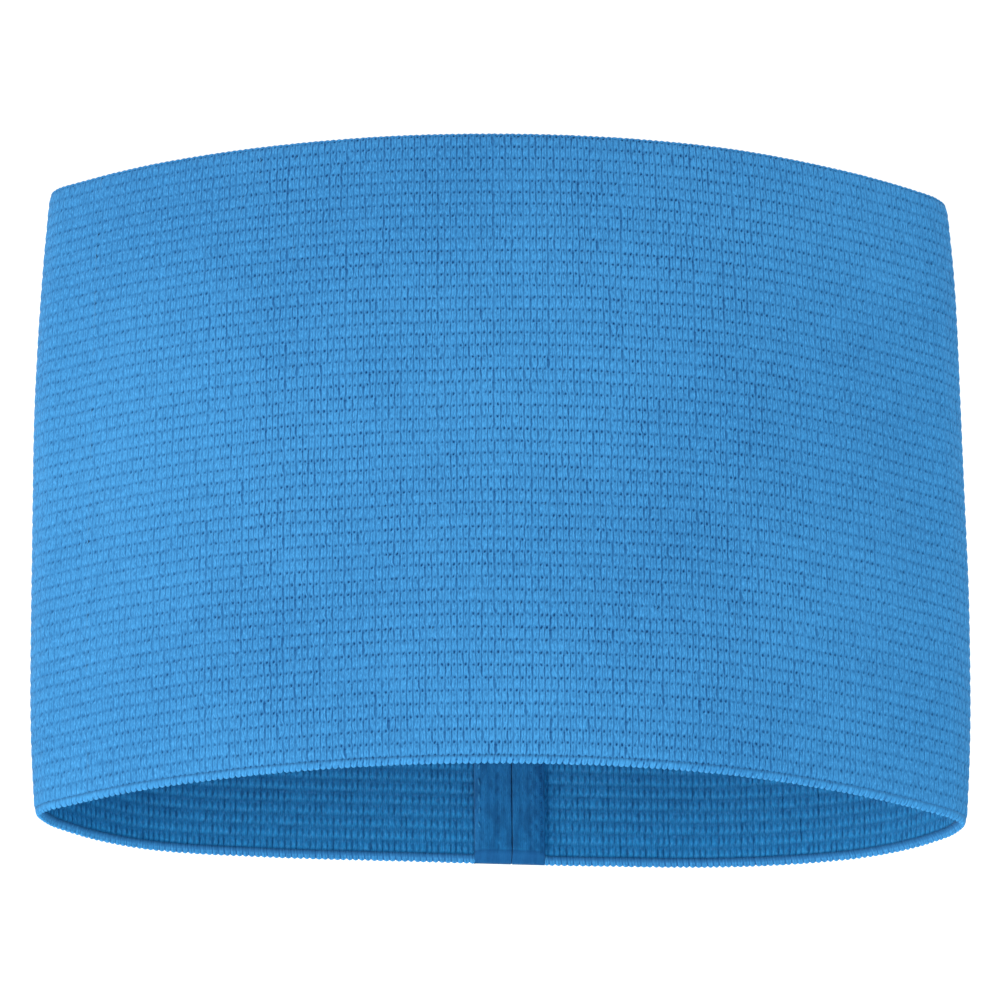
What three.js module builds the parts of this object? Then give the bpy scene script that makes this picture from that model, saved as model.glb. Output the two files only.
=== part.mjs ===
// Captain armband: a wide loop of knitted elastic whose two ends are sewn together at the back.
// Units are millimetres, +Z is up. The loop stands on its lower rim and the arm goes through along Z.
// Seen from above, the front faces -Y and the sewn joint is at the back, on the +Y side.

import * as THREE from "three";

// The loop, measured outside at its fullest height
const BAND_WIDTH = 121.6;
const BAND_DEPTH = 37;
const BAND_HEIGHT = 90;
const CLOTH_THICKNESS = 1.3;

// How far both rims draw in from the fullest height, and the small bevel of each rim
const RIM_DRAW_IN = 1.2;
const RIM_BEVEL = 0.3;

// The sewn joint: its place across the back, and the groove that it leaves on the outside
const JOINT_ACROSS = -0.95;
const JOINT_GROOVE_WIDTH = 1.6;
const JOINT_GROOVE_DEPTH = 0.45;

// The two ends of the strip, turned open inside the back wall
const ALLOWANCE_RIGHT_WIDTH = 4.6;
const ALLOWANCE_LEFT_WIDTH = 4.1;
const ALLOWANCE_THICKNESS = 1.0;
const ALLOWANCE_RECESS = 0.5;
const ALLOWANCE_SPLIT = 0.4;
const CLEARANCE = 0.3;

// Fineness of the faces
const STEPS_AROUND = 168;
const STEPS_ACROSS_ALLOWANCE = 4;
const STEPS_OF_HEIGHT = 10;
const OUTLINE_SAMPLES = 1600;
const PROFILE_TOLERANCE = 1e-6;

// The loop seen from above, counter-clockwise from its right fold. Each row is a place on the
// outside: across is a share of half the width, deep a share of half the depth, positive at the back.
const OUTLINE = [
  { across: 1.0, deep: -0.045 },
  { across: 0.975, deep: 0.16 },
  { across: 0.93, deep: 0.31 },
  { across: 0.86, deep: 0.48 },
  { across: 0.74, deep: 0.655 },
  { across: 0.5, deep: 0.785 },
  { across: 0.18, deep: 0.875 },
  { across: -0.18, deep: 0.965 },
  { across: -0.5, deep: 0.99 },
  { across: -0.74, deep: 0.87 },
  { across: -0.86, deep: 0.71 },
  { across: -0.93, deep: 0.55 },
  { across: -0.978, deep: 0.385 },
  { across: -1.0, deep: 0.18 },
  { across: -0.975, deep: 0.025 },
  { across: -0.92, deep: -0.115 },
  { across: -0.76, deep: -0.42 },
  { across: -0.5, deep: -0.765 },
  { across: -0.18, deep: -0.965 },
  { across: 0.18, deep: -0.985 },
  { across: 0.5, deep: -0.825 },
  { across: 0.76, deep: -0.56 },
  { across: 0.92, deep: -0.3 },
  { across: 0.98, deep: -0.175 },
];

// The upright profile: up is a share of the height, drawn a share of the rims' draw-in
const PROFILE = [
  { up: 0.0, drawn: 1.0 },
  { up: 0.12, drawn: 0.45 },
  { up: 0.3, drawn: 0.08 },
  { up: 0.5, drawn: 0.0 },
  { up: 0.7, drawn: 0.05 },
  { up: 0.88, drawn: 0.4 },
  { up: 1.0, drawn: 1.0 },
];

const KNIT_BLUE = 0x3f90d2;
const INSIDE_BLUE = 0x2f7cbd;
const KNIT_ROUGHNESS = 0.92;

// The closed outline, stretched so that it measures the stated width and depth exactly
function makeOutline() {
  const half = { width: BAND_WIDTH / 2, depth: BAND_DEPTH / 2 };
  const places = OUTLINE.map((row) => new THREE.Vector3(row.across * half.width, row.deep * half.depth, 0));
  const curve = new THREE.CatmullRomCurve3(places, true, "centripetal");
  curve.arcLengthDivisions = OUTLINE_SAMPLES;
  const box = new THREE.Box3().setFromPoints(curve.getSpacedPoints(OUTLINE_SAMPLES));
  const size = box.getSize(new THREE.Vector3());
  const centre = box.getCenter(new THREE.Vector3());
  const stretch = new THREE.Vector3(BAND_WIDTH / size.x, BAND_DEPTH / size.y, 1);
  const length = curve.getLength();

  // A place on the outline with its outward direction, by distance along it
  const at = (distance) => {
    const share = THREE.MathUtils.euclideanModulo(distance / length, 1);
    const point = curve.getPointAt(share).sub(centre).multiply(stretch);
    const tangent = curve.getTangentAt(share).multiply(stretch).normalize();
    return { point, outward: new THREE.Vector3(tangent.y, -tangent.x, 0) };
  };
  return { at, length };
}

// The distance along the outline at which the back wall passes a given place across
function distanceAtBack(outline, across) {
  let nearest = { distance: 0, miss: Infinity };
  for (let step = 0; step < OUTLINE_SAMPLES; step += 1) {
    const distance = (outline.length * step) / OUTLINE_SAMPLES;
    const { point } = outline.at(distance);
    const miss = point.y > 0 ? Math.abs(point.x - across) : Infinity;
    if (miss < nearest.miss) nearest = { distance, miss };
  }
  return nearest.distance;
}

// The upright profile as a smooth curve: how far the wall is drawn in at a height
const profileCurve = new THREE.SplineCurve(
  PROFILE.map((row) => new THREE.Vector2(row.up * BAND_HEIGHT, row.drawn * RIM_DRAW_IN)),
);

function drawnIn(height) {
  let low = 0;
  let high = 1;
  while (high - low > PROFILE_TOLERANCE) {
    const middle = (low + high) / 2;
    if (profileCurve.getPoint(middle).x < height) low = middle;
    else high = middle;
  }
  return profileCurve.getPoint((low + high) / 2).y;
}

// One upright wall section as pairs of depths below the outline, from the bottom to the top
function wallSection({ bottom, top, outerDepth, thickness, bevel }) {
  const rows = [{ height: bottom, bevelled: bevel }];
  const first = bottom + bevel;
  const last = top - bevel;
  for (let step = 0; step <= STEPS_OF_HEIGHT; step += 1) {
    rows.push({ height: first + ((last - first) * step) / STEPS_OF_HEIGHT, bevelled: 0 });
  }
  rows.push({ height: top, bevelled: bevel });
  return rows.map(({ height, bevelled }) => ({
    height,
    outer: drawnIn(height) + outerDepth + bevelled,
    inner: drawnIn(height) + outerDepth + thickness - bevelled,
  }));
}

// A wall of cloth along the outline: closed into a loop, or ended by a face at each end
function clothWall(outline, stations, section, closed) {
  const positions = [];
  const indices = [];
  const rows = section.length;
  stations.forEach(({ distance, groove }) => {
    const { point, outward } = outline.at(distance);
    for (const side of ["outer", "inner"]) {
      for (const row of section) {
        const depth = row[side] + (side === "outer" ? groove : 0);
        const place = point.clone().addScaledVector(outward, -depth).setZ(row.height);
        positions.push(place.x, place.y, place.z);
      }
    }
  });

  const vertex = (station, side, row) => ((station % stations.length) * 2 + side) * rows + row;
  const quad = (a, b, c, d) => indices.push(a, b, c, a, c, d);
  const top = rows - 1;
  const spans = closed ? stations.length : stations.length - 1;
  for (let here = 0; here < spans; here += 1) {
    const next = here + 1;
    for (let row = 0; row < top; row += 1) {
      quad(vertex(here, 0, row), vertex(next, 0, row), vertex(next, 0, row + 1), vertex(here, 0, row + 1));
      quad(vertex(next, 1, row), vertex(here, 1, row), vertex(here, 1, row + 1), vertex(next, 1, row + 1));
    }
    quad(vertex(next, 0, 0), vertex(here, 0, 0), vertex(here, 1, 0), vertex(next, 1, 0));
    quad(vertex(here, 0, top), vertex(next, 0, top), vertex(next, 1, top), vertex(here, 1, top));
  }
  if (!closed) {
    const end = stations.length - 1;
    for (let row = 0; row < top; row += 1) {
      quad(vertex(0, 1, row), vertex(0, 0, row), vertex(0, 0, row + 1), vertex(0, 1, row + 1));
      quad(vertex(end, 0, row), vertex(end, 1, row), vertex(end, 1, row + 1), vertex(end, 0, row + 1));
    }
  }

  const geometry = new THREE.BufferGeometry();
  geometry.setAttribute("position", new THREE.Float32BufferAttribute(positions, 3));
  geometry.setIndex(indices);
  geometry.computeVertexNormals();
  return geometry;
}

// Stations round the whole loop, starting in the joint's groove
function loopStations(outline, joint) {
  const half = JOINT_GROOVE_WIDTH / 2;
  const run = outline.length - JOINT_GROOVE_WIDTH;
  const stations = [{ distance: joint, groove: JOINT_GROOVE_DEPTH }];
  for (let step = 0; step <= STEPS_AROUND; step += 1) {
    stations.push({ distance: joint + half + (run * step) / STEPS_AROUND, groove: 0 });
  }
  return stations;
}

// Stations across one turned end, which starts beside the joint and goes to one side of it
function allowanceStations(joint, side, width) {
  const near = ALLOWANCE_SPLIT / 2;
  const start = side > 0 ? joint + near : joint - near - width;
  const stations = [];
  for (let step = 0; step <= STEPS_ACROSS_ALLOWANCE; step += 1) {
    stations.push({ distance: start + (width * step) / STEPS_ACROSS_ALLOWANCE, groove: 0 });
  }
  return stations;
}

function clothMesh(name, geometry, color) {
  const material = new THREE.MeshStandardMaterial({ color, roughness: KNIT_ROUGHNESS, metalness: 0 });
  const mesh = new THREE.Mesh(geometry, material);
  mesh.name = name;
  return mesh;
}

function buildArmband() {
  const outline = makeOutline();
  const joint = distanceAtBack(outline, JOINT_ACROSS);

  const bandSection = wallSection({
    bottom: 0,
    top: BAND_HEIGHT,
    outerDepth: 0,
    thickness: CLOTH_THICKNESS,
    bevel: RIM_BEVEL,
  });
  const band = clothWall(outline, loopStations(outline, joint), bandSection, true);

  const allowanceSection = wallSection({
    bottom: ALLOWANCE_RECESS,
    top: BAND_HEIGHT - ALLOWANCE_RECESS,
    outerDepth: CLOTH_THICKNESS + CLEARANCE,
    thickness: ALLOWANCE_THICKNESS,
    bevel: RIM_BEVEL,
  });
  const seam = new THREE.Group();
  for (const { name, side, width } of [
    { name: "seam_allowance_right", side: -1, width: ALLOWANCE_RIGHT_WIDTH },
    { name: "seam_allowance_left", side: 1, width: ALLOWANCE_LEFT_WIDTH },
  ]) {
    const stations = allowanceStations(joint, side, width);
    seam.add(clothMesh(name, clothWall(outline, stations, allowanceSection, false), INSIDE_BLUE));
  }

  const armband = new THREE.Group();
  armband.add(clothMesh("elastic_band", band, KNIT_BLUE), seam);
  return armband;
}

export default buildArmband();
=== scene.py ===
"""Captain armband: a standing loop of knitted elastic whose two ends are sewn together inside the back.

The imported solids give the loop's size and place. The band's knit is dressed as rings of raised
stitches, its two rims as wrapped threads, and its turned ends as flattened cloth with their
seam threads. Lengths are in metres, +Z is up, the front faces -Y and the seam is at the back.
"""

import logging
import math
from dataclasses import dataclass, replace
from enum import Enum
from typing import NamedTuple

import bmesh
import bpy
import numpy as np
from mathutils import Matrix, Quaternion, Vector


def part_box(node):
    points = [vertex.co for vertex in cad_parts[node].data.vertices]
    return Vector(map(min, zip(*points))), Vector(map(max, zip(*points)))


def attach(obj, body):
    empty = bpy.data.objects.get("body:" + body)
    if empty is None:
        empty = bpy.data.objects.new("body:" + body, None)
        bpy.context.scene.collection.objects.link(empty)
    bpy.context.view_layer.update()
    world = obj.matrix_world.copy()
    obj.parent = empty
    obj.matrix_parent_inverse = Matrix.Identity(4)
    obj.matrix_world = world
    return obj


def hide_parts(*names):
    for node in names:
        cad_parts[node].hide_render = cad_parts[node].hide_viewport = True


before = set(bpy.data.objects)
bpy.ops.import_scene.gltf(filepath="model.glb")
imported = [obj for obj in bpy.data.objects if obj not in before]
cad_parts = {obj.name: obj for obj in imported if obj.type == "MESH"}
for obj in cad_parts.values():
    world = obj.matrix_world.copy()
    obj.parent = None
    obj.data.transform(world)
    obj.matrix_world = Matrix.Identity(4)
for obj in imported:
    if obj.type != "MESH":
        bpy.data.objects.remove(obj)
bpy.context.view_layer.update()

LOG = logging.getLogger("armband")
MM = 0.001
BODY = "root"
BAND_NODE = "elastic_band"
KNIT_MAP = "KnitCount"
BAKE_MAP = "OFBake"
# The mesh attribute that paints light: painted shade above 0, a painted pale highlight below 0.
PAINTED_LIGHT_MARK = "painted_shade"
INNER = "inner"
WELD = 0.01 * MM
LEVEL = 0.95
STITCH_COLUMNS = 4
STRAIGHT_INSET = 0.6 * MM
STRAIGHT_SHARE = 0.5
ZIGZAG_INSETS = (1.9 * MM, 0.3 * MM)
ZIGZAG_PROUD = -0.07 * MM
PHOTO_TARGET = Vector((0.0, -10.8 * MM, 50.31 * MM))
Colour = tuple[float, float, float, float]
Socket = bpy.types.NodeSocket
Material = bpy.types.Material
Mesh = bpy.types.Mesh
Piece = bpy.types.Object


class OutlineSpot(NamedTuple):
    """A place on the loop seen from above, in shares of half its width and half its depth."""

    across: float
    deep: float


class ProfileSpot(NamedTuple):
    """How far the upright wall is drawn in at a share of its height, as a share of the draw-in."""

    up: float
    drawn: float


class StitchRow(NamedTuple):
    """One row of a stitch, in shares of a stitch's height, its width and the depth of the relief.

    up is the row's height, line the depth on the line between two courses, shoulder how far from
    that line the two shoulders of the stitch stand, face the depth of those shoulders, and middle
    the depth halfway between them.
    """

    up: float
    line: float
    shoulder: float
    face: float
    middle: float


OUTLINE = (
    OutlineSpot(1.0, -0.045),
    OutlineSpot(0.975, 0.16),
    OutlineSpot(0.93, 0.31),
    OutlineSpot(0.86, 0.48),
    OutlineSpot(0.74, 0.655),
    OutlineSpot(0.5, 0.785),
    OutlineSpot(0.18, 0.875),
    OutlineSpot(-0.18, 0.965),
    OutlineSpot(-0.5, 0.99),
    OutlineSpot(-0.74, 0.87),
    OutlineSpot(-0.86, 0.71),
    OutlineSpot(-0.93, 0.55),
    OutlineSpot(-0.978, 0.385),
    OutlineSpot(-1.0, 0.18),
    OutlineSpot(-0.975, 0.025),
    OutlineSpot(-0.92, -0.115),
    OutlineSpot(-0.76, -0.42),
    OutlineSpot(-0.5, -0.765),
    OutlineSpot(-0.18, -0.965),
    OutlineSpot(0.18, -0.985),
    OutlineSpot(0.5, -0.825),
    OutlineSpot(0.76, -0.56),
    OutlineSpot(0.92, -0.3),
    OutlineSpot(0.98, -0.175),
)

PROFILE = (
    ProfileSpot(0.0, 1.0),
    ProfileSpot(0.12, 0.45),
    ProfileSpot(0.3, 0.08),
    ProfileSpot(0.5, 0.0),
    ProfileSpot(0.7, 0.05),
    ProfileSpot(0.88, 0.4),
    ProfileSpot(1.0, 1.0),
)

OUTER_STITCH = (
    StitchRow(0.0, 0.35, 0.27, 0.4, 1.0),
    StitchRow(0.24, 0.6, 0.25, 0.12, 0.15),
    StitchRow(0.7, 0.3, 0.22, 0.0, 0.06),
)

INNER_STITCH = (
    StitchRow(0.0, 0.7, 0.3, 0.6, 0.7),
    StitchRow(0.28, 0.7, 0.28, 0.05, 0.1),
    StitchRow(0.76, 0.7, 0.26, 0.0, 0.05),
)


def smoothed(places: np.ndarray, values: np.ndarray, wanted: np.ndarray) -> np.ndarray:
    """Read a smooth curve through a short table.

    Args:
        places: The table's places, rising.
        values: The value at each place.
        wanted: The places to read.

    Returns:
        The smooth value at each wanted place.
    """
    slopes = np.gradient(values, places)
    first = np.clip(np.searchsorted(places, wanted, side="right") - 1, 0, len(places) - 2)
    span = places[first + 1] - places[first]
    share = np.clip((wanted - places[first]) / span, 0.0, 1.0)
    rise = values[first + 1] - values[first]
    leave = slopes[first] * span
    arrive = slopes[first + 1] * span
    bend = (3 * rise - 2 * leave - arrive) * share**2 + (leave + arrive - 2 * rise) * share**3
    return values[first] + leave * share + bend


def closed_curve(spots: np.ndarray, steps: int) -> np.ndarray:
    """Lay a closed centripetal curve through spots in the plan.

    Args:
        spots: The spots in order, one row of x and y each.
        steps: How many points the curve has between two spots.

    Returns:
        The points of the curve, in order.
    """
    before, start, end, after = (np.roll(spots, shift, axis=0) for shift in (1, 0, -1, -2))
    gap_before = np.linalg.norm(start - before, axis=1, keepdims=True) ** 0.5
    gap = np.linalg.norm(end - start, axis=1, keepdims=True) ** 0.5
    gap_after = np.linalg.norm(after - end, axis=1, keepdims=True) ** 0.5
    leave = (start - before) / gap_before - (end - before) / (gap_before + gap) + (end - start) / gap
    arrive = (end - start) / gap - (after - start) / (gap + gap_after) + (after - end) / gap_after
    leave = leave * gap
    arrive = arrive * gap
    share = np.linspace(0.0, 1.0, steps, endpoint=False)[:, None, None]
    square = (3 * (end - start) - 2 * leave - arrive) * share**2
    cube = (2 * (start - end) + leave + arrive) * share**3
    curve = start + leave * share + square + cube
    return curve.transpose(1, 0, 2).reshape(-1, 2)


class LoopPath:
    """The loop's outside, read by distance from the sewn joint, height and depth into the cloth."""

    steps_between_spots = 80
    rim_draw_in = 1.2 * MM
    rim_curl = 0.22 * MM
    curl_height = 2.4 * MM

    def __init__(self, low: Vector, high: Vector, joint_across: float) -> None:
        """Fit the outline into the band's box and start it at the joint.

        Args:
            low: The band's lowest corner.
            high: The band's highest corner.
            joint_across: The joint's place along X.
        """
        self.height = high.z - low.z
        half = np.array([high.x - low.x, high.y - low.y]) / 2
        middle = np.array([high.x + low.x, high.y + low.y]) / 2
        curve = closed_curve(np.array(OUTLINE) * half, self.steps_between_spots)
        span = np.ptp(curve, axis=0)
        curve = (curve - (curve.max(0) + curve.min(0)) / 2) * (2 * half / span) + middle
        at_back = np.where(curve[:, 1] > middle[1], np.abs(curve[:, 0] - joint_across), np.inf)
        curve = np.roll(curve, -int(np.argmin(at_back)), axis=0)
        closed = np.vstack([curve, curve[:1]])
        steps = np.linalg.norm(np.diff(closed, axis=0), axis=1)
        self.reach = np.concatenate([[0.0], np.cumsum(steps)])
        self.length = float(self.reach[-1])
        self.outside = closed
        heading = np.roll(curve, -1, axis=0) - np.roll(curve, 1, axis=0)
        heading = heading / np.linalg.norm(heading, axis=1, keepdims=True)
        outward = np.stack([heading[:, 1], -heading[:, 0]], axis=1)
        self.outward = np.vstack([outward, outward[:1]])

    def drawn_in(self, height: np.ndarray) -> np.ndarray:
        """Read how far the wall is drawn in at each height, with the small curl of both rims."""
        table = np.array(PROFILE)
        from_rim = np.minimum(height, self.height - height)
        curled = self.rim_curl * np.clip(1.0 - from_rim / self.curl_height, 0.0, 1.0) ** 2
        return smoothed(table[:, 0] * self.height, table[:, 1] * self.rim_draw_in, height) + curled

    def place(self, distance: np.ndarray, height: np.ndarray, depth: np.ndarray) -> np.ndarray:
        """Place points on or in the cloth.

        Args:
            distance: How far round the loop from the joint, over the back to the left fold first.
            height: The height above the floor.
            depth: How deep below the outside of the cloth.

        Returns:
            One row of x, y and z for each point.
        """
        along = np.mod(distance, self.length)
        inset = depth + self.drawn_in(height)
        across = np.interp(along, self.reach, self.outside[:, 0])
        deep = np.interp(along, self.reach, self.outside[:, 1])
        across = across - np.interp(along, self.reach, self.outward[:, 0]) * inset
        deep = deep - np.interp(along, self.reach, self.outward[:, 1]) * inset
        return np.stack([across, deep, height], axis=-1)


class GapSpot(NamedTuple):
    """An oval gap in every stitch, painted as shade: its middle and half its size, in shares of a course and
    of a wale.
    """

    across: float
    up: float
    half_width: float
    half_height: float


HOLE = GapSpot(0.5, 0.0, 0.18, 0.12)
BESIDE_HOLE = GapSpot(0.0, 0.24, 0.16, 0.12)
LINE = GapSpot(0.0, 0.5, 0.15, 0.75)
THIN_LINE = GapSpot(0.5, 0.5, 0.1, 0.5)
SLOT = GapSpot(0.0, 0.52, 0.22, 0.36)


class Clouds(NamedTuple):
    """Clouds over the stitches: their stretch each way, their detail, and the noise they start and fill at."""

    across: float
    up: float
    detail: float
    start: float
    full: float


GLEAMS = Clouds(4.1, 3.0, 1.0, 0.5, 0.68)
STREAKS = Clouds(5.0, 2.1, 2.0, 0.5, 0.68)
BLOTCHES = Clouds(0.9, 0.4, 1.0, 0.45, 0.65)


class NodeSheet:
    """A short way to add and join the nodes of one material."""

    def __init__(self, name: str) -> None:
        """Start an empty material with its Principled shader and its output."""
        self.material = bpy.data.materials.new(name)
        self.material.use_nodes = True
        self.tree = self.material.node_tree
        self.tree.nodes.clear()
        self.shader = self.tree.nodes.new("ShaderNodeBsdfPrincipled")
        output = self.tree.nodes.new("ShaderNodeOutputMaterial")
        self.tree.links.new(self.shader.outputs["BSDF"], output.inputs["Surface"])

    def fill(self, socket: Socket, value: object) -> None:
        """Set a socket to a plain value, or join another socket to it."""
        if isinstance(value, Socket):
            self.tree.links.new(value, socket)
        else:
            socket.default_value = value

    def maths(self, operation: str, *values: object) -> Socket:
        """Work out a number from one to three others.

        Args:
            operation: The Math node's operation.
            values: Its numbers or sockets, in order.

        Returns:
            The node's result.
        """
        node = self.tree.nodes.new("ShaderNodeMath")
        node.operation = operation
        for socket, value in zip(node.inputs, values):
            self.fill(socket, value)
        return node.outputs[0]

    def blend(self, share: object, first: object, second: object) -> Socket:
        """Mix two colours.

        Args:
            share: How much of the second colour shows.
            first: The first colour or socket.
            second: The second colour or socket.

        Returns:
            The mixed colour.
        """
        node = self.tree.nodes.new("ShaderNodeMix")
        node.data_type = "RGBA"
        self.fill(node.inputs["Factor"], share)
        self.fill(node.inputs[6], first)
        self.fill(node.inputs[7], second)
        return node.outputs[2]

    def noise(self, vector: Socket, scale: float, detail: float = 2.0) -> Socket:
        """Read cloudy noise between 0 and 1 at a place."""
        node = self.tree.nodes.new("ShaderNodeTexNoise")
        node.inputs["Scale"].default_value = scale
        node.inputs["Detail"].default_value = detail
        self.tree.links.new(vector, node.inputs["Vector"])
        return node.outputs["Fac"]

    def ranged(self, value: object, low: float, high: float, to_low: float, to_high: float) -> Socket:
        """Map a number from one range to another and keep it there."""
        node = self.tree.nodes.new("ShaderNodeMapRange")
        node.clamp = True
        self.fill(node.inputs["Value"], value)
        node.inputs["From Min"].default_value = low
        node.inputs["From Max"].default_value = high
        node.inputs["To Min"].default_value = to_low
        node.inputs["To Max"].default_value = to_high
        return node.outputs["Result"]

    def object_place(self) -> Socket:
        """Read the place in the object's own frame."""
        return self.tree.nodes.new("ShaderNodeTexCoord").outputs["Object"]

    def stitch_place(self) -> tuple[Socket, Socket, Socket]:
        """Read the stitch map as a vector, its course number and its wale number."""
        node = self.tree.nodes.new("ShaderNodeUVMap")
        node.uv_map = KNIT_MAP
        return node.outputs["UV"], *self.parts(node.outputs["UV"])

    def parts(self, vector: Socket) -> tuple[Socket, Socket]:
        """Split a vector into its first two numbers."""
        node = self.tree.nodes.new("ShaderNodeSeparateXYZ")
        self.tree.links.new(vector, node.inputs["Vector"])
        return node.outputs["X"], node.outputs["Y"]

    def stretched(self, vector: Socket, across: float, up: float) -> Socket:
        """Stretch the stitch map by a factor each way."""
        node = self.tree.nodes.new("ShaderNodeVectorMath")
        node.operation = "MULTIPLY"
        self.tree.links.new(vector, node.inputs[0])
        node.inputs[1].default_value = (across, up, 1.0)
        return node.outputs["Vector"]

    def chance(self, course: Socket, wale: Socket) -> Socket:
        """Draw one number between 0 and 1 for each stitch."""
        joined = self.tree.nodes.new("ShaderNodeCombineXYZ")
        self.fill(joined.inputs["X"], self.maths("FLOOR", course))
        self.fill(joined.inputs["Y"], self.maths("FLOOR", wale))
        node = self.tree.nodes.new("ShaderNodeTexWhiteNoise")
        node.noise_dimensions = "2D"
        self.tree.links.new(joined.outputs["Vector"], node.inputs["Vector"])
        return node.outputs["Value"]

    def nearness(self, value: Socket, place: float) -> Socket:
        """Measure how far a number is from a place that repeats once in every whole number."""
        return self.maths("PINGPONG", self.maths("SUBTRACT", value, place), 0.5)

    def spot(self, course: Socket, wale: Socket, gap: GapSpot) -> Socket:
        """Mark a soft-edged gap that repeats in every stitch.

        Args:
            course: The course number.
            wale: The wale number.
            gap: The gap's place and size.

        Returns:
            A number that is 1 in the gap and 0 outside it.
        """
        wide = self.maths("DIVIDE", self.nearness(course, gap.across), gap.half_width)
        high = self.maths("DIVIDE", self.nearness(wale, gap.up), gap.half_height)
        square = self.maths("MULTIPLY_ADD", wide, wide, self.maths("MULTIPLY", high, high))
        return self.ranged(square, 0.3, 1.5, 1.0, 0.0)

    def clouded(self, vector: Socket, clouds: Clouds, share: float, colour: Socket, over: Colour) -> Socket:
        """Blend a colour over another in clouds.

        Args:
            vector: The stitch map.
            clouds: The clouds' pattern.
            share: How much of the new colour a full cloud shows.
            colour: The colour below.
            over: The new colour.

        Returns:
            The blended colour.
        """
        noise = self.noise(self.stretched(vector, clouds.across, clouds.up), 1.0, clouds.detail)
        return self.blend(self.ranged(noise, clouds.start, clouds.full, 0.0, share), colour, over)

    def attribute(self, name: str) -> Socket:
        """Read a number that the mesh carries."""
        node = self.tree.nodes.new("ShaderNodeAttribute")
        node.attribute_name = name
        return node.outputs["Fac"]

    def bump(self, height: Socket, strength: float, depth: float) -> None:
        """Let a height pattern roughen the shader's surface."""
        node = self.tree.nodes.new("ShaderNodeBump")
        node.inputs["Strength"].default_value = strength
        node.inputs["Distance"].default_value = depth
        self.tree.links.new(height, node.inputs["Height"])
        self.tree.links.new(node.outputs["Normal"], self.shader.inputs["Normal"])


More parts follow.
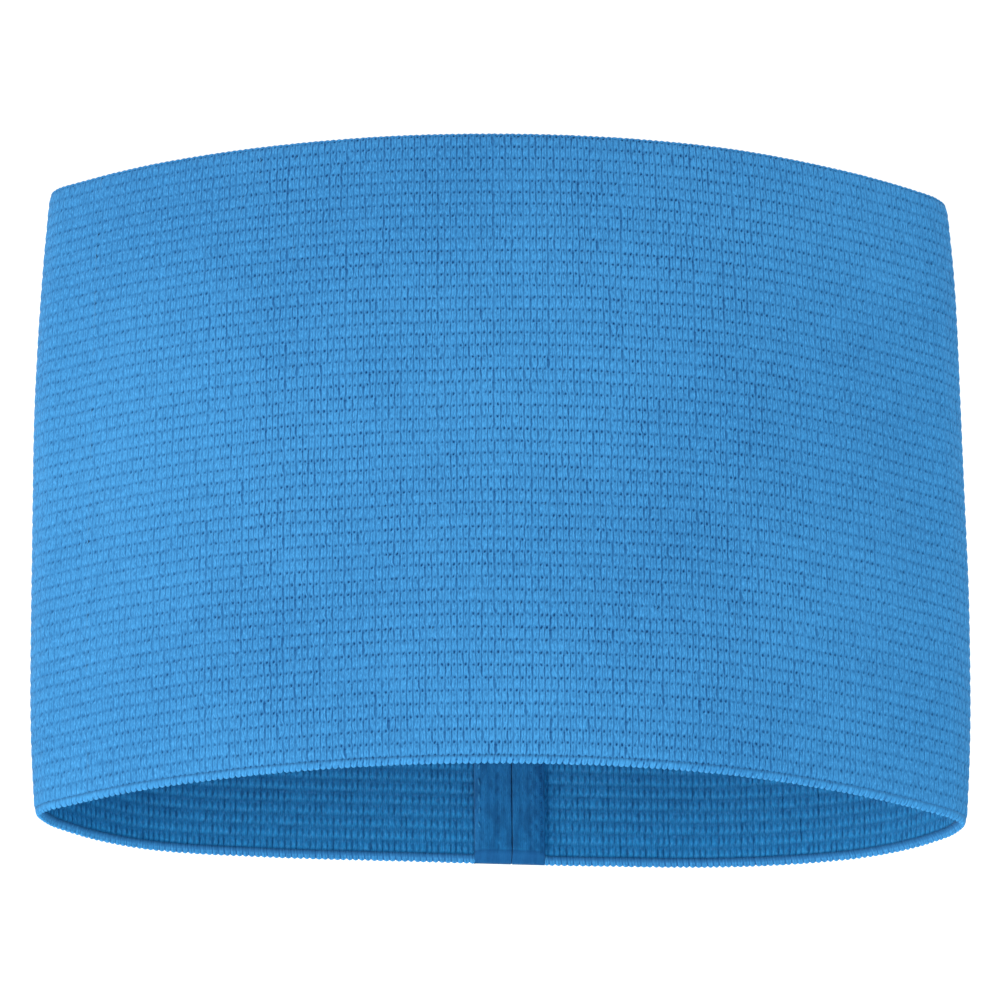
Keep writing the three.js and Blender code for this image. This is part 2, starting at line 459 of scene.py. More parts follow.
@dataclass(frozen=True)
class YarnFinish:
    """Dyed elastic yarn: cloudy blue with random streaks, fine plies and a soft fuzz; its darker hollows,
    stitch gap spots and ply lines are painted shade, and its gleams and pale rim tips painted highlights.
    """

    name: str
    light: Colour
    deep: Colour
    # The next colour is painted shade for the relief, the stitch gap spots and the lines between plies; the
    # random streaks and blotches blend towards it too.
    painted_shade: Colour
    # gleam is a painted highlight in random clouds; tip is a painted pale highlight on the rim teeth's tips.
    gleam: Colour = (0.075, 0.33, 0.68, 1.0)
    inside: Colour = (0.0245, 0.255, 0.565, 1.0)
    tip: Colour = (0.15, 0.44, 0.8, 1.0)
    tip_highlight_share: float = 0.8
    # How much painted shade the mesh's mark gives at most, and the mark at which that painted shade starts.
    painted_shade_share: float = 0.8
    painted_shade_start: float = 0.5
    gap_share: float = 1.0
    line_share: float = 0.8
    slot_share: float = 0.6
    bed_share: float = 0.3
    valley_share: float = 0.24
    weak_gap_shade_share: float = 0.35
    faint_patch: float = 0.7
    stray_share: float = 0.1
    rise_share: float = 0.08
    streak_share: float = 0.4
    blotch_share: float = 0.08
    gleam_share: float = 0.6
    plies: float = 3.0
    ply_shade_share: float = 0.12
    roughness: float = 0.85
    specular: float = 0.15
    sheen: float = 0.05
    cloud_scale: float = 32.0
    full_gap_shade_reach: float = 30.0 * MM
    weak_gap_shade_reach: float = 54.0 * MM
    fibre_depth: float = 0.05 * MM

    def gap_shade_strength(self, sheet: NodeSheet) -> Socket:
        """Read how strongly the painted shade in the stitch gap spots shows: full across the front, weaker
        towards the folds.
        """
        reach = sheet.maths("ABSOLUTE", sheet.parts(sheet.object_place())[0])
        return sheet.ranged(reach, self.full_gap_shade_reach, self.weak_gap_shade_reach, 1.0, self.weak_gap_shade_share)

    def gaps(self, sheet: NodeSheet, vector: Socket, course: Socket, wale: Socket, inner: Socket) -> Socket:
        """Mark the painted shade in the gap spots of every stitch.

        The outer face has a hole, a smaller one beside it and thin upright lines. The inner face has
        upright slots between its stitches and a valley between its rows.

        Args:
            sheet: The material's nodes.
            vector: The stitch map.
            course: The course number.
            wale: The wale number.
            inner: 1 on the inner face of the cloth and 0 on the outer one.

        Returns:
            How much painted shade each place takes, from 0 to 1.
        """
        stray_noise = sheet.noise(vector, 1.4, 1.0)
        stray = sheet.ranged(stray_noise, 0.2, 0.8, -self.stray_share, self.stray_share)
        rise_noise = sheet.noise(sheet.stretched(vector, -1.0, -1.0), 1.7, 1.0)
        rise = sheet.ranged(rise_noise, 0.2, 0.8, -self.rise_share, self.rise_share)
        patch_noise = sheet.noise(sheet.stretched(vector, 0.2, 0.35), 1.0, 1.0)
        patch = sheet.ranged(patch_noise, 0.3, 0.65, self.faint_patch, 1.0)
        across = sheet.maths("ADD", course, stray)
        up = sheet.maths("ADD", wale, rise)
        between = sheet.maths("ADD", course, 0.5)
        line_chance = sheet.chance(between, wale)
        dot_shade_strength = sheet.maths("MULTIPLY", self.gap_shade_strength(sheet), patch)

        hole_chance = sheet.chance(course, sheet.maths("ADD", wale, 0.5))
        hole_share = sheet.ranged(hole_chance, 0.0, 1.0, 0.6, 1.0)
        hole = sheet.maths("MULTIPLY", sheet.spot(across, up, HOLE), hole_share)
        beside_chance = sheet.chance(between, sheet.maths("ADD", wale, 0.3))
        beside_share = sheet.ranged(beside_chance, 0.1, 0.9, 0.25, 0.95)
        beside = sheet.maths("MULTIPLY", sheet.spot(across, up, BESIDE_HOLE), beside_share)
        dots = sheet.maths("MULTIPLY", sheet.maths("MAXIMUM", hole, beside), dot_shade_strength)

        line_share = sheet.ranged(line_chance, 0.0, 1.0, 0.5 * self.line_share, self.line_share)
        line = sheet.maths("MULTIPLY", sheet.spot(across, up, LINE), line_share)
        thin_share = sheet.ranged(hole_chance, 0.1, 0.9, 0.5 * self.line_share, 0.1)
        thin = sheet.maths("MULTIPLY", sheet.spot(across, up, THIN_LINE), thin_share)
        line_shade_strength = sheet.ranged(dot_shade_strength, 0.2, 1.0, self.weak_gap_shade_share, 1.0)
        lines = sheet.maths("MULTIPLY", sheet.maths("MAXIMUM", line, thin), line_shade_strength)
        valley = sheet.ranged(sheet.nearness(up, 0.0), 0.04, 0.22, self.valley_share, 0.0)
        outer_dark = sheet.maths("MAXIMUM", sheet.maths("MAXIMUM", dots, lines), valley)

        slot_share = sheet.ranged(line_chance, 0.0, 1.0, 0.5 * self.slot_share, self.slot_share)
        slot = sheet.maths("MULTIPLY", sheet.spot(across, up, SLOT), slot_share)
        bed = sheet.ranged(sheet.nearness(up, 0.0), 0.1, 0.3, self.bed_share, 0.0)
        inner_patch = sheet.ranged(patch, 0.5, 1.0, self.faint_patch, 1.0)
        inner_dark = sheet.maths("MULTIPLY", sheet.maths("MAXIMUM", slot, bed), inner_patch)

        outer_part = sheet.maths("MULTIPLY", outer_dark, sheet.maths("SUBTRACT", 1.0, inner))
        dark = sheet.maths("MULTIPLY_ADD", inner_dark, inner, outer_part)
        return sheet.maths("MULTIPLY", dark, self.gap_share)

    def build(self) -> Material:
        """Make the material from the stitch map and the painted shade and highlight marks that the mesh
        carries.
        """
        sheet = NodeSheet(self.name)
        vector, course, wale = sheet.stitch_place()
        inner = sheet.attribute(INNER)
        cloud = sheet.noise(sheet.object_place(), self.cloud_scale)
        colour = sheet.blend(sheet.ranged(cloud, 0.3, 0.7, 0.0, 1.0), self.light, self.deep)
        colour = sheet.blend(inner, colour, self.inside)

        # Painted highlights in random gleams, then random streaks and blotches of the yarn's own darker tone.
        colour = sheet.clouded(vector, GLEAMS, self.gleam_share, colour, self.gleam)
        colour = sheet.clouded(vector, STREAKS, self.streak_share, colour, self.painted_shade)
        colour = sheet.clouded(vector, BLOTCHES, self.blotch_share, colour, self.painted_shade)

        # Painted shade in the lines between the plies; the same ply pattern also roughens the bump below.
        turn = sheet.maths("MULTIPLY", course, self.plies * math.pi)
        ply = sheet.maths("ABSOLUTE", sheet.maths("SINE", turn))
        ply_shade = sheet.ranged(ply, 0.0, 0.7, self.ply_shade_share, 0.0)
        colour = sheet.blend(ply_shade, colour, self.painted_shade)
        # Painted shade in the stitch gap spots, valleys and slots.
        if self.gap_share:
            colour = sheet.blend(self.gaps(sheet, vector, course, wale, inner), colour, self.painted_shade)

        # The mesh's mark paints light: below 0 a painted pale highlight on rim tips, above the start painted
        # shade in the relief, rim notches and turned ends.
        mark = sheet.attribute(PAINTED_LIGHT_MARK)
        colour = sheet.blend(sheet.ranged(mark, -1.0, 0.0, self.tip_highlight_share, 0.0), colour, self.tip)
        depth = sheet.ranged(mark, self.painted_shade_start, 1.1, 0.0, self.painted_shade_share)
        colour = sheet.blend(depth, colour, self.painted_shade)
        sheet.fill(sheet.shader.inputs["Base Color"], colour)

        sheet.shader.inputs["Roughness"].default_value = self.roughness
        sheet.shader.inputs["Specular IOR Level"].default_value = self.specular
        sheet.shader.inputs["Sheen Weight"].default_value = self.sheen
        sheet.shader.inputs["Sheen Roughness"].default_value = 0.5
        fibre = sheet.noise(sheet.stretched(vector, 9.0, 5.0), 1.0, 3.0)
        relief = sheet.maths("MULTIPLY_ADD", ply, 0.6, fibre)
        sheet.bump(relief, 0.5, self.fibre_depth)
        return sheet.material


@dataclass(frozen=True)
class FloorFinish:
    """A matt white studio sweep that glows a little, so that it stays white."""

    name: str = "studio_floor"
    colour: Colour = (0.15, 0.15, 0.15, 1.0)
    faint: Colour = (0.12, 0.12, 0.12, 1.0)
    glow: float = 1.0

    def build(self) -> Material:
        """Make the floor's material."""
        sheet = NodeSheet(self.name)
        tone = sheet.noise(sheet.object_place(), 3.0)
        shade = sheet.blend(sheet.ranged(tone, 0.3, 0.7, 0.0, 1.0), self.colour, self.faint)
        sheet.fill(sheet.shader.inputs["Base Color"], shade)
        sheet.shader.inputs["Roughness"].default_value = 0.95
        sheet.shader.inputs["Emission Color"].default_value = (1.0, 1.0, 1.0, 1.0)
        sheet.shader.inputs["Emission Strength"].default_value = self.glow
        return sheet.material


def grid_shell(columns: int, rows: int) -> tuple[Mesh, np.ndarray, np.ndarray]:
    """Make a flat grid that is ready to be rolled up.

    Args:
        columns: How many faces it has across.
        rows: How many faces it has up.

    Returns:
        Its mesh with both UV maps, and each vertex's column and row number.
    """
    shell = bmesh.new()
    shell.loops.layers.uv.new(BAKE_MAP)
    bmesh.ops.create_grid(shell, x_segments=columns, y_segments=rows, size=0.5, calc_uvs=True)
    mesh = bpy.data.meshes.new("shell")
    shell.to_mesh(mesh)
    shell.free()
    flat = np.empty(len(mesh.vertices) * 3)
    mesh.vertices.foreach_get("co", flat)
    flat = flat.reshape(-1, 3)
    column = np.rint((flat[:, 0] + 0.5) * columns).astype(int)
    row = np.rint((flat[:, 1] + 0.5) * rows).astype(int)
    mesh.uv_layers.new(name=KNIT_MAP)
    return mesh, column, row


def shape_shell(
    mesh: Mesh, places: np.ndarray, stitch: np.ndarray, painted_shade: np.ndarray, inner: np.ndarray
) -> None:
    """Move a grid's vertices to their places and write what its finish reads.

    Args:
        mesh: The grid from grid_shell.
        places: Each vertex's x, y and z.
        stitch: Each vertex's course number and wale number.
        painted_shade: How much painted shade each vertex takes: below 0 a painted pale highlight
            on a tip, 0 on the face, 1 in a deep recess.
        inner: 1 where a vertex is on the inner face of the cloth, and 0 elsewhere.
    """
    mesh.vertices.foreach_set("co", places.ravel())
    corners = np.empty(len(mesh.loops), dtype=int)
    mesh.loops.foreach_get("vertex_index", corners)
    mesh.uv_layers[KNIT_MAP].uv.foreach_set("vector", stitch[corners].ravel())
    mesh.attributes.new(PAINTED_LIGHT_MARK, "FLOAT", "POINT").data.foreach_set("value", painted_shade)
    mesh.attributes.new(INNER, "FLOAT", "POINT").data.foreach_set("value", inner.astype(float))


def stitch_section(part: np.ndarray, table: np.ndarray) -> tuple[np.ndarray, np.ndarray]:
    """Read where the four columns of a stitch stand.

    Args:
        part: Each vertex's column within its stitch, from 0 to 3.
        table: Each vertex's stitch row, as a row of numbers.

    Returns:
        Each vertex's place across its course and its depth, as shares.
    """
    line, shoulder, face, middle = table[:, 1], table[:, 2], table[:, 3], table[:, 4]
    along = np.choose(part, [np.zeros_like(line), shoulder, np.full_like(line, 0.5), 1.0 - shoulder])
    deep = np.choose(part, [line, face, middle, face])
    return along, deep


def close_shell(mesh: Mesh, flat_ends: bool = False) -> None:
    """Weld a rolled grid's meeting edges, fill its open ends and turn its faces outwards.

    Args:
        mesh: The shaped grid.
        flat_ends: Whether its level end faces keep sharp edges, so that they don't bend the light
            on the faces beside them.
    """
    shell = bmesh.new()
    shell.from_mesh(mesh)
    bmesh.ops.remove_doubles(shell, verts=shell.verts, dist=WELD)
    open_edges = [edge for edge in shell.edges if edge.is_boundary]
    if open_edges:
        bmesh.ops.holes_fill(shell, edges=open_edges, sides=0)
    bmesh.ops.recalc_face_normals(shell, faces=shell.faces)
    for face in shell.faces:
        face.smooth = True
        if flat_ends and abs(face.normal.z) > LEVEL:
            for edge in face.edges:
                edge.smooth = False
    shell.to_mesh(mesh)
    shell.free()


def finished_piece(name: str, mesh: Mesh, material: Material) -> Piece:
    """Show a mesh as a piece of the part.

    Args:
        name: The piece's name.
        mesh: Its mesh, already in place.
        material: Its finish.

    Returns:
        The new object.
    """
    mesh.name = name
    mesh.materials.append(material)
    piece = bpy.data.objects.new(name, mesh)
    bpy.context.scene.collection.objects.link(piece)
    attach(piece, BODY)
    mesh.calc_loop_triangles()
    LOG.info("%s: %d triangles", name, len(mesh.loop_triangles))
    return piece


class Face(Enum):
    """The two faces of the cloth, with the stitch rows that each shows."""

    OUTER = OUTER_STITCH
    INNER = INNER_STITCH

    def rows(self, step: np.ndarray) -> np.ndarray:
        """Read the stitch row that each step up the face stands on."""
        return np.array(self.value)[step % len(self.value)]


class Wave(NamedTuple):
    """A wave round the loop: its number of turns, its share, and its slant for each metre of height."""

    turns: int
    share: float
    slant: float


ROW_WAVES = (Wave(3, 1.0, 30.0), Wave(8, 0.6, -55.0), Wave(21, 0.3, 0.0))
WALL_WAVES = (Wave(5, 1.0, 60.0), Wave(11, 0.7, -85.0), Wave(17, 0.5, 120.0))


@dataclass
class KnitBand:
    """The loop's knit: courses of stitches round it, in rows from the lower rim to the upper one."""

    path: LoopPath
    seed: int = 7
    courses: int = 333
    stitch_rows: int = 51
    rings: tuple[int, ...] = (10, 10, 11, 10, 10)
    lower_rim: float = 0.45 * MM
    upper_rim: float = 1.05 * MM
    thickness: float = 1.3 * MM
    relief: float = 0.3 * MM
    course_stray: float = 0.05 * MM
    row_stray: float = 0.12 * MM
    sway: float = 0.1 * MM
    groove_width: float = 1.6 * MM
    groove_depth: float = 0.45 * MM

    def __post_init__(self) -> None:
        """Draw the small irregularities once, so that neighbouring rings share them."""
        chance = np.random.default_rng(self.seed)
        self.pitch = self.path.length / self.courses
        self.row_height = (self.path.height - self.lower_rim - self.upper_rim) / self.stitch_rows
        self.course_shift = chance.normal(0.0, self.course_stray, self.courses)
        self.strength = chance.uniform(0.6, 1.15, (self.courses, self.stitch_rows + 1))
        self.line_strength = chance.uniform(0.6, 1.1, (self.courses, self.stitch_rows + 1))
        self.lean = chance.normal(0.0, self.course_stray, (self.courses, self.stitch_rows + 1))
        self.phases = chance.uniform(0.0, math.tau, 6)

    def waves(
        self, table: tuple[Wave, ...], phases: np.ndarray, distance: np.ndarray, height: np.ndarray
    ) -> np.ndarray:
        """Add up waves that run round the loop and fade out at both rims.

        Args:
            table: The waves.
            phases: Where each of them starts.
            distance: How far round the loop each place is.
            height: Each place's height.

        Returns:
            The waves' sum at each place.
        """
        turn = math.tau * distance / self.path.length
        total = np.zeros_like(distance)
        for wave, phase in zip(table, phases):
            total = total + wave.share * np.sin(wave.turns * turn + phase + wave.slant * height)
        return total * np.sin(np.pi * np.clip(height / self.path.height, 0.0, 1.0))

    def row_wave(self, distance: np.ndarray, height: np.ndarray) -> np.ndarray:
        """Read how far a stitch row strays up or down."""
        return self.row_stray * self.waves(ROW_WAVES, self.phases[:3], distance, height)

    def wall_sway(self, distance: np.ndarray, height: np.ndarray) -> np.ndarray:
        """Read how far the soft wall swells or sinks at a place."""
        return self.sway * self.waves(WALL_WAVES, self.phases[3:], distance, height)

    def joint_groove(self, distance: np.ndarray) -> np.ndarray:
        """Read the depth of the groove that the joint leaves on the outside."""
        reach = np.minimum(distance, self.path.length - distance)
        return self.groove_depth * np.clip(1.0 - 2.0 * reach / self.groove_width, 0.0, 1.0)

    def ring(self, name: str, first: int, count: int, material: Material) -> Piece:
        """Build one ring of stitch rows with the full thickness of the cloth.

        Args:
            name: The piece's name.
            first: The number of its first stitch row.
            count: How many stitch rows it has.
            material: The knit's finish.

        Returns:
            The ring's object.
        """
        steps = len(OUTER_STITCH)
        face_rows = steps * count + 1
        mesh, column, row = grid_shell(STITCH_COLUMNS * self.courses, 2 * face_rows)
        row = row % (2 * face_rows)
        inner = row >= face_rows
        up = np.where(inner, 2 * face_rows - 1 - row, row)
        stitch_row = first + up // steps
        table = np.where(inner[:, None], Face.INNER.rows(up), Face.OUTER.rows(up))

        course = column // STITCH_COLUMNS
        part = column % STITCH_COLUMNS
        along, deep = stitch_section(part, table)
        number = course % self.courses
        on_line = (part == 0) & ~inner
        line_strength = self.line_strength[number, stitch_row]
        strength = np.where(on_line, line_strength, self.strength[number, stitch_row])
        deep = np.clip(deep * strength, 0.0, 1.15)

        at_joint = (column == 0) | (column == STITCH_COLUMNS * self.courses)
        stray = self.course_shift[number] + self.lean[number, stitch_row]
        distance = (course + along) * self.pitch + np.where(at_joint, 0.0, stray)
        rise = stitch_row + table[:, 0]
        height = self.lower_rim + rise * self.row_height
        height = height + self.row_wave(distance, height)
        depth = np.where(inner, self.thickness - deep * self.relief, deep * self.relief)
        depth = depth + np.where(inner, 0.0, self.joint_groove(distance))
        depth = depth - self.wall_sway(distance, height)
        places = self.path.place(distance, height, depth)
        # The relief's depth is also written as the mesh's painted-shade mark, which darkens the stitch
        # recesses.
        shape_shell(mesh, places, np.stack([course + along, rise], axis=1), deep, inner)
        close_shell(mesh, flat_ends=True)
        ring = finished_piece(name, mesh, material)
        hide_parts(BAND_NODE)
        return ring

    def build(self, material: Material) -> list[Piece]:
        """Build every ring of the band.

        Args:
            material: The knit's finish.

        Returns:
            The rings from the bottom up.
        """
        rings = []
        first = 0
        for index, count in enumerate(self.rings, start=1):
            rings.append(self.ring(f"knit_ring_{index}", first, count, material))
            first += count
        return rings


class RimSpot(NamedTuple):
    """A place on a rim's section.

    up is a share of its height, depth a share of the cloth's thickness, scallop how much of the
    notch between two teeth it takes, and shade its painted shade, below 0 a tip's painted highlight.
    """

    up: float
    depth: float
    scallop: float
    shade: float


# The last column is painted light: painted shade down the inner slope, painted pale highlights (below 0) on
# the tips.
RIM_SECTION = (
    RimSpot(0.0, 0.06, 0.0, 0.1),
    RimSpot(0.4, 0.04, 0.1, 0.1),
    RimSpot(0.76, 0.07, 0.5, 0.1),
    RimSpot(0.94, 0.14, 1.0, -0.6),
    RimSpot(1.0, 0.26, 1.0, -1.0),
    RimSpot(0.95, 0.38, 1.0, -1.0),
    RimSpot(0.76, 0.47, 0.75, 0.2),
    RimSpot(0.36, 0.6, 0.3, 0.85),
    RimSpot(0.0, 1.0, 0.0, 0.9),
    RimSpot(-0.1, 0.5, 0.0, 0.0),
)


@dataclass
class WrappedRim:
    """One rim of the band: a thread that wraps over the edge once in every course."""

    band: KnitBand
    name: str
    base: float
    tip: float
    notch: float = 0.3 * MM
    gap_share: float = 0.9
    slant: float = 0.2
    columns: int = 4
    wrapped_stitches: float = 1.5
    pressed_reach: float = 4.6 * MM
    pressed_fade: float = 0.6 * MM
    pressed_share: float = 0.36
    pressed_shade: float = 0.6

    def pressed(self, distance: np.ndarray) -> np.ndarray:
        """Read how far the rim is pressed down beside the joint, where the turned ends lie over it."""
        reach = np.minimum(distance, self.band.path.length - distance)
        outside = np.clip((self.pressed_reach - reach) / self.pressed_fade, 0.0, 1.0)
        return self.pressed_share * outside * np.clip(reach / self.pressed_fade, 0.0, 1.0)

    def build(self, material: Material) -> Piece:
        """Build the rim as one closed ring.

        Args:
            material: The rim's finish.

        Returns:
            The rim's object.
        """
        band = self.band
        rows = len(RIM_SECTION)
        mesh, column, row = grid_shell(self.columns * band.courses, rows)
        section = np.array(RIM_SECTION)[row % rows]
        course = column / self.columns
        gap = 1.0 - np.abs(np.sin(np.pi * course))
        number = np.floor(course + 0.5).astype(int) % band.courses
        notched = section[:, 2] * gap * band.strength[number, 0]
        up = section[:, 0] - notched * self.notch / abs(self.tip - self.base)
        deep = section[:, 1]
        distance = np.mod((course + self.slant * section[:, 0]) * band.pitch, band.path.length)
        pressed = self.pressed(distance)
        height = self.base + (self.tip - self.base) * np.where(up > 0.0, up * (1.0 - pressed), up)
        depth = deep * band.thickness + band.joint_groove(distance) * (1 - deep)
        places = band.path.place(distance, height, depth)
        wrapped = self.wrapped_stitches * np.minimum(row, rows - row) / rows
        near_joint = np.minimum(distance, band.path.length - distance) < self.pressed_reach
        # Painted shade in the notches between teeth and down the inner slope, a painted pale highlight on the
        # tips, and painted shade on the pressed rim under the turned ends.
        painted_shade = np.maximum(gap * section[:, 2] * self.gap_share, section[:, 3])
        painted_shade = np.where(near_joint, self.pressed_shade, painted_shade)
        shape_shell(mesh, places, np.stack([course, wrapped], axis=1), painted_shade, np.zeros_like(painted_shade))
        close_shell(mesh)
        rim = finished_piece(self.name, mesh, material)
        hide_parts(BAND_NODE)
        return rim


class Rib(NamedTuple):
    """A sunken line up a turned end, painted darker as shade.

    across is its place from the joint to the free edge and half its half width, in shares of the
    end's width, deep its share of the relief, and beat how much of that comes and goes with the
    sewing, where beat_start is the share of a sewing stitch at which it begins.
    """

    across: float
    half: float
    deep: float
    beat: float
    beat_start: float


PLAIN_RIBS = (
    Rib(0.23, 0.05, 0.25, 0.5, 0.3),
    Rib(0.37, 0.06, 1.0, 0.75, 0.0),
    Rib(0.6, 0.06, 0.55, 0.4, 0.5),
    Rib(0.8, 0.05, 0.7, 0.6, 0.2),
    Rib(0.97, 0.05, 0.8, 0.2, 0.0),
)

LATTICE_RIBS = (
    Rib(0.3, 0.08, 0.45, 0.4, 0.1),
    Rib(0.56, 0.07, 0.95, 0.7, 0.0),
    Rib(0.73, 0.06, 0.9, 0.85, 0.5),
    Rib(0.9, 0.06, 1.0, 0.6, 0.0),
)

FLAP_NODES = {"seam_allowance_left": LATTICE_RIBS, "seam_allowance_right": PLAIN_RIBS}


@dataclass
class TurnedEnd:
    """One end of the strip, turned open at the joint and pressed flat inside the back wall."""

    band: KnitBand
    node: str
    joint_across: float
    ribs: tuple[Rib, ...]
    lift: float = 0.12 * MM
    thickness: float = 1.1 * MM
    relief: float = 0.16 * MM
    edge: float = 0.15 * MM
    sewing_pitch: float = 2.1 * MM
    lean_height: float = 1.3 * MM
    lean_depth: float = 1.6 * MM
    rim_clearance: float = 0.05 * MM
    rib_shade: float = 0.8
    edge_shade: float = 0.85
    bent_shade: float = 0.98
    bent_fade: float = 0.4 * MM
    hidden_lean: float = 0.95 * MM
    taper_width: float = 1.6 * MM
    taper_share: float = 0.55
    face_steps: int = 28
    edge_steps: int = 3
    hidden_steps: int = 5
    height_steps: int = 230

    def __post_init__(self) -> None:
        """Read the end's reach and height from its solid."""
        low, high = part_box(self.node)
        self.far = max(abs(low.x - self.joint_across), abs(high.x - self.joint_across))
        self.side = -1.0 if low.x + high.x > 2 * self.joint_across else 1.0
        self.bottom = low.z
        self.top = self.band.path.height - self.rim_clearance

    def section(self) -> tuple[np.ndarray, np.ndarray]:
        """Lay out the section's closed loop, over the visible face and back behind it.

        Returns:
            For each of its columns, the reach from the joint and the share of the thickness.
        """
        turn = np.linspace(0.0, math.pi, self.edge_steps + 2)[1:-1]
        face = np.linspace(self.edge, self.far - self.edge, self.face_steps + 1)
        hidden = np.linspace(face[-1], face[0], self.hidden_steps + 1)
        round_far = face[-1] + self.edge * np.sin(turn)
        round_near = face[0] - self.edge * np.sin(turn)
        reach = np.concatenate([face, round_far, hidden, round_near])
        falling = (1 + np.cos(turn)) / 2
        up = np.concatenate([np.ones_like(face), falling, np.zeros_like(hidden), 1 - falling])
        return reach, up

    def face_depth(self, reach: np.ndarray) -> np.ndarray:
        """Read how deep the face lies at a reach from the joint: it thins out towards the free edge."""
        thinned = np.clip((reach - self.far) / self.taper_width + 1.0, 0.0, 1.0) ** 2
        return self.lift + self.thickness * (1.0 - self.taper_share * thinned)

    def hollows(self, share: np.ndarray, height: np.ndarray) -> np.ndarray:
        """Read how deep the face is drawn in along its ribs.

        Args:
            share: Each place's share of the end's width, from the joint.
            height: Each place's height.

        Returns:
            The depth at each place, from 0 to about 1.
        """
        deep = np.zeros_like(share)
        for rib in self.ribs:
            sewn = 0.5 + 0.5 * np.cos(math.tau * (height / self.sewing_pitch - rib.beat_start))
            line = np.exp(-(((share - rib.across) / rib.half) ** 2))
            deep = np.maximum(deep, rib.deep * line * (1.0 - rib.beat + rib.beat * sewn))
        return deep

    def build(self, material: Material) -> Piece:
        """Build the turned end.

        Args:
            material: Its finish.

        Returns:
            Its object.
        """
        band = self.band
        section_reach, section_up = self.section()
        spans = len(section_reach)
        mesh, column, row = grid_shell(spans, self.height_steps)
        reach = section_reach[column % spans]
        up = section_up[column % spans]
        height = self.bottom + (self.top - self.bottom) * row / self.height_steps
        share = reach / self.far
        deep = self.hollows(share, height) * up
        lean = np.clip((height - self.top) / self.lean_height + 1.0, 0.0, 1.0)
        lean = lean**2 * (3.0 - 2.0 * lean)
        behind = band.thickness + self.lift
        face = band.thickness + self.face_depth(reach)
        depth = behind + up * (face - behind) - deep * self.relief
        depth = depth - lean * self.lean_depth * up - lean * self.lift * (1.0 - up)
        depth = depth - lean * self.hidden_lean * (1.0 - up)
        distance = np.mod(self.side * reach, band.path.length)
        places = band.path.place(distance, height, depth)
        stitch = np.stack([reach / band.pitch, height / band.row_height], axis=1)
        # Painted shade: on the bent top that tilts up towards the lamps, on the rounded edges and in the ribs.
        below_bend = self.top - self.lean_height - height
        bent = self.bent_shade * np.clip(1.0 - below_bend / self.bent_fade, 0.0, 1.0)
        rounded = self.edge_shade * np.sin(np.pi * up)
        painted_shade = np.maximum(np.maximum(deep * self.rib_shade, bent), rounded)
        shape_shell(mesh, places, stitch, painted_shade, np.zeros_like(painted_shade))
        close_shell(mesh)
        flap = finished_piece(self.node.replace("seam_allowance", "turned_end"), mesh, material)
        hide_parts(self.node)
        return flap


@dataclass
class SeamThreads:
    """The sewing threads that hold one turned end flat."""

    flap: TurnedEnd
    radius: float = 0.12 * MM
    proud: float = 0.04 * MM
    sides: int = 8
    rings: int = 6

    def __post_init__(self) -> None:
        """Count the stitches that fit below the flap's leaning top."""
        self.pitch = self.flap.sewing_pitch
        self.bottom = self.flap.bottom + self.radius
        run = self.flap.top - self.flap.lean_height - self.bottom
        self.count = int(run / self.pitch)

    def spot(self, reach: float, height: float) -> Vector:
        """Find a place on the flap's face at a reach from the joint."""
        band = self.flap.band
        depth = band.thickness + self.flap.face_depth(reach) + self.proud
        distance = np.array([self.flap.side * reach % band.path.length])
        return Vector(band.path.place(distance, np.array([height]), np.array([depth]))[0])

    def stitch(self, threads: bmesh.types.BMesh, start: Vector, end: Vector) -> None:
        """Lay one rounded length of thread between two places."""
        run = end - start
        turn = run.to_track_quat("Z", "Y").to_matrix().to_4x4()
        size = Matrix.Diagonal((self.radius, self.radius, run.length / 2, 1.0))
        bmesh.ops.create_uvsphere(
            threads,
            u_segments=self.sides,
            v_segments=self.rings,
            radius=1.0,
            matrix=Matrix.Translation((start + end) / 2) @ turn @ size,
        )

    def straight_row(self, threads: bmesh.types.BMesh, reach: float, share: float) -> None:
        """Sew one straight row of stitches up the flap.

        Args:
            threads: The mesh that the stitches join.
            reach: The row's reach from the joint.
            share: How much of each pitch its stitch covers.
        """
        for index in range(self.count):
            low = self.bottom + index * self.pitch
            lean = self.radius * math.sin(2.4 * index)
            length = share * self.pitch * (1.0 + 0.25 * math.sin(1.7 * index))
            start = self.spot(reach + lean, low)
            end = self.spot(reach - 0.5 * lean, low + length)
            self.stitch(threads, start, end)

    def zigzag_row(self, threads: bmesh.types.BMesh, near: float, far: float) -> None:
        """Sew one zigzag of stitches up the flap, between two reaches from the joint."""
        for index in range(self.count):
            low = self.spot(near, self.bottom + index * self.pitch)
            middle = self.spot(far, self.bottom + (index + 0.5) * self.pitch)
            high = self.spot(near, self.bottom + (index + 1) * self.pitch)
            self.stitch(threads, low, middle)
            self.stitch(threads, middle, high)

    def finish(self, name: str, threads: bmesh.types.BMesh, material: Material) -> Piece:
        """Show the sewn threads as one piece."""
        for face in threads.faces:
            face.smooth = True
        mesh = bpy.data.meshes.new(name)
        threads.to_mesh(mesh)
        threads.free()
        mesh.uv_layers.new(name=KNIT_MAP)
        return finished_piece(name, mesh, material)


@dataclass(frozen=True)
class SoftLight:
    """One square soft light that looks at the armband."""

    name: str
    azimuth: float
    elevation: float
    distance: float
    size: float
    power: float
    colour: tuple[float, float, float] = (1.0, 0.78, 0.7)

    def build(self, target: Vector) -> Piece:
        """Hang the light and turn it to the target."""
        data = bpy.data.lights.new(self.name, "AREA")
        data.size = self.size
        data.energy = self.power
        data.color = self.colour
        lamp = bpy.data.objects.new(self.name, data)
        around = math.radians(self.azimuth)
        above = math.radians(self.elevation)
        level = math.cos(above)
        back = Vector((math.sin(around) * level, -math.cos(around) * level, math.sin(above)))
        lamp.location = target + back * self.distance
        lamp.rotation_euler = (-back).to_track_quat("-Z", "Y").to_euler()
        bpy.context.scene.collection.objects.link(lamp)
        return lamp


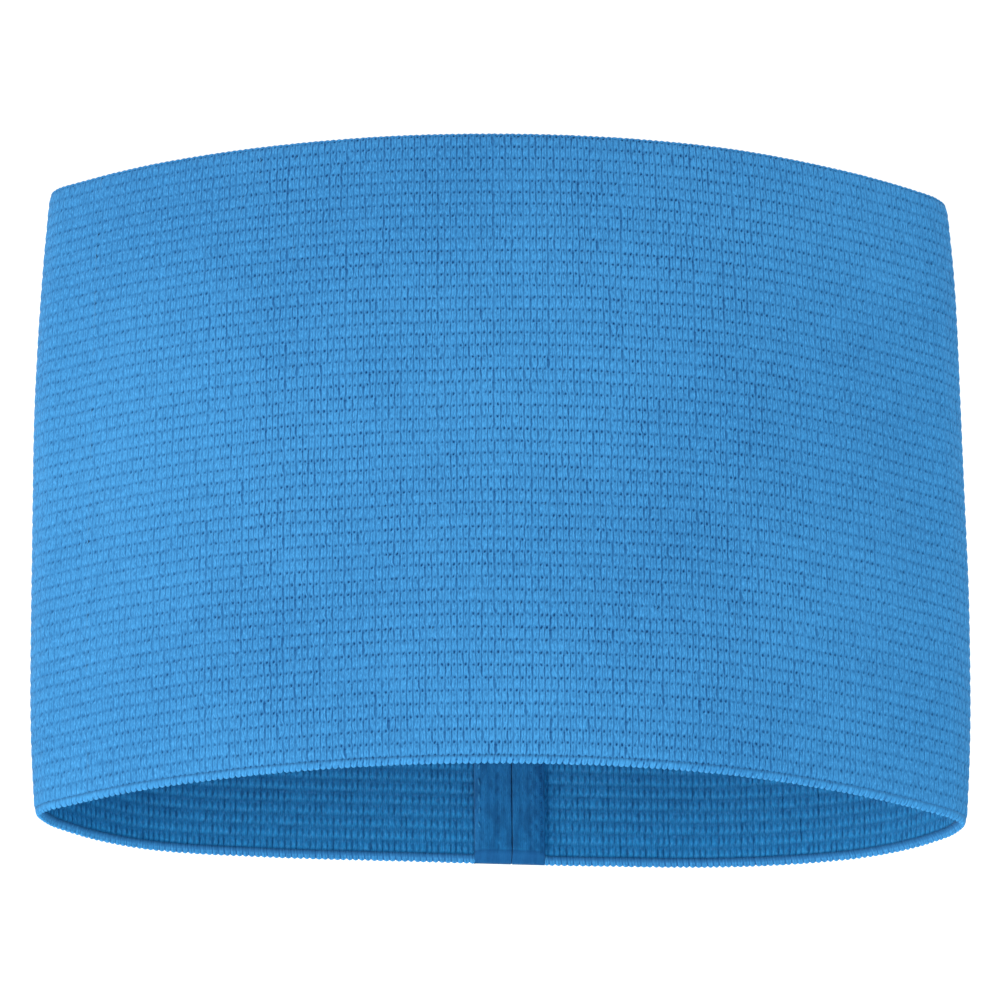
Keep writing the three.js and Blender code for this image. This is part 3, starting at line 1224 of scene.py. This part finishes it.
KEY_LIGHTS = (
    SoftLight(name="top_light", azimuth=40.0, elevation=65.0, distance=1.2, size=0.5, power=12.0),
    SoftLight(name="side_light", azimuth=60.0, elevation=14.0, distance=1.8, size=0.8, power=9.8),
)


@dataclass
class Studio:
    """A pale floor, a cool surround, two warmer soft lights and the photograph's camera."""

    target: Vector
    surround: float = 1.28
    surround_colour: Colour = (0.5, 0.93, 1.0, 1.0)
    floor_half: float = 6.0
    camera_distance: float = 0.998
    camera_elevation: float = 25.9
    camera_roll: float = 179.77
    camera_lens: float = 279.65

    def build_floor(self) -> Piece:
        """Lay the floor under the armband."""
        shell = bmesh.new()
        bmesh.ops.create_grid(shell, x_segments=1, y_segments=1, size=self.floor_half)
        mesh = bpy.data.meshes.new("studio_floor")
        shell.to_mesh(mesh)
        shell.free()
        mesh.materials.append(FloorFinish().build())
        floor = bpy.data.objects.new("studio_floor", mesh)
        bpy.context.scene.collection.objects.link(floor)
        return floor

    def build_lights(self) -> None:
        """Light the armband from the upper left of the photograph, softly filled from all round."""
        world = bpy.data.worlds.new("studio_surround")
        world.use_nodes = True
        backdrop = world.node_tree.nodes["Background"]
        backdrop.inputs["Color"].default_value = self.surround_colour
        backdrop.inputs["Strength"].default_value = self.surround
        bpy.context.scene.world = world
        for light in KEY_LIGHTS:
            light.build(self.target)

    def build_camera(self) -> Piece:
        """Set the camera at the photograph's angle, looking over the front rim."""
        data = bpy.data.cameras.new("photo_camera")
        data.lens = self.camera_lens
        data.sensor_width = 36.0
        data.clip_start = 0.05
        data.clip_end = 30.0
        camera = bpy.data.objects.new("photo_camera", data)
        above = math.radians(self.camera_elevation)
        ahead = Vector((0.0, math.cos(above), -math.sin(above)))
        camera.location = self.target - ahead * self.camera_distance
        camera.rotation_mode = "QUATERNION"
        roll = Quaternion((0.0, 0.0, 1.0), math.radians(self.camera_roll))
        camera.rotation_quaternion = ahead.to_track_quat("-Z", "Y") @ roll
        bpy.context.scene.collection.objects.link(camera)
        bpy.context.scene.camera = camera
        return camera


def main() -> None:
    """Build the armband's pieces in order, then the studio round it."""
    logging.basicConfig(level=logging.INFO, format="%(message)s")
    bpy.context.scene.view_settings.view_transform = "Standard"
    low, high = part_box(BAND_NODE)
    flap_boxes = [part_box(node) for node in FLAP_NODES]
    inner_edges = sorted(corner.x for box in flap_boxes for corner in box)[1:3]
    joint_across = sum(inner_edges) / 2

    knit_finish = YarnFinish(
        name="knit_blue",
        light=(0.052, 0.255, 0.54, 1.0),
        deep=(0.036, 0.205, 0.46, 1.0),
        painted_shade=(0.0015, 0.045, 0.16, 1.0),
    )
    thread_finish = YarnFinish(
        name="seam_thread_blue",
        light=(0.045, 0.27, 0.55, 1.0),
        deep=(0.035, 0.23, 0.5, 1.0),
        painted_shade=(0.0015, 0.045, 0.15, 1.0),
        gap_share=0.0,
    )
    knit_blue = knit_finish.build()
    rim_blue = replace(knit_finish, name="rim_blue", line_share=0.6).build()
    # The turned ends' blue is darker than the knit's: partly the turned cloth's own tone, partly painted shade
    # for the ends that lie inside the back wall.
    turned_blue = replace(
        thread_finish,
        name="turned_end_blue",
        light=(0.018, 0.18, 0.43, 1.0),
        deep=(0.012, 0.15, 0.37, 1.0),
        gleam=(0.03, 0.22, 0.5, 1.0),
        painted_shade_share=0.95,
        streak_share=0.35,
        blotch_share=0.4,
        ply_shade_share=0.05,
    ).build()
    thread_blue = thread_finish.build()
    lattice_blue = replace(
        thread_finish,
        name="lattice_thread_blue",
        light=(0.01, 0.12, 0.32, 1.0),
        deep=(0.007, 0.09, 0.26, 1.0),
        gleam=(0.015, 0.14, 0.36, 1.0),
    ).build()

    path = LoopPath(low, high, joint_across)
    band = KnitBand(path)
    rings = band.build(knit_blue)
    lower = WrappedRim(band, "lower_rim", band.lower_rim, 0.0, pressed_reach=0.0).build(rim_blue)
    upper = WrappedRim(band, "upper_rim", path.height - band.upper_rim, path.height).build(rim_blue)
    flaps = [TurnedEnd(band, node, joint_across, ribs) for node, ribs in FLAP_NODES.items()]
    turned = [flap.build(turned_blue) for flap in flaps]

    plain_sewing = SeamThreads(flaps[1])
    threads = bmesh.new()
    plain_sewing.straight_row(threads, plain_sewing.flap.far - STRAIGHT_INSET, STRAIGHT_SHARE)
    plain = plain_sewing.finish("straight_threads", threads, thread_blue)
    edge_sewing = SeamThreads(flaps[0], proud=ZIGZAG_PROUD)
    threads = bmesh.new()
    near, far = (edge_sewing.flap.far - inset for inset in ZIGZAG_INSETS)
    edge_sewing.zigzag_row(threads, near, far)
    edge_sewing.zigzag_row(threads, far, near)
    zigzag = edge_sewing.finish("zigzag_threads", threads, lattice_blue)

    studio = Studio(PHOTO_TARGET)
    studio.build_floor()
    studio.build_lights()
    studio.build_camera()


if __name__ == "__main__":
    main()
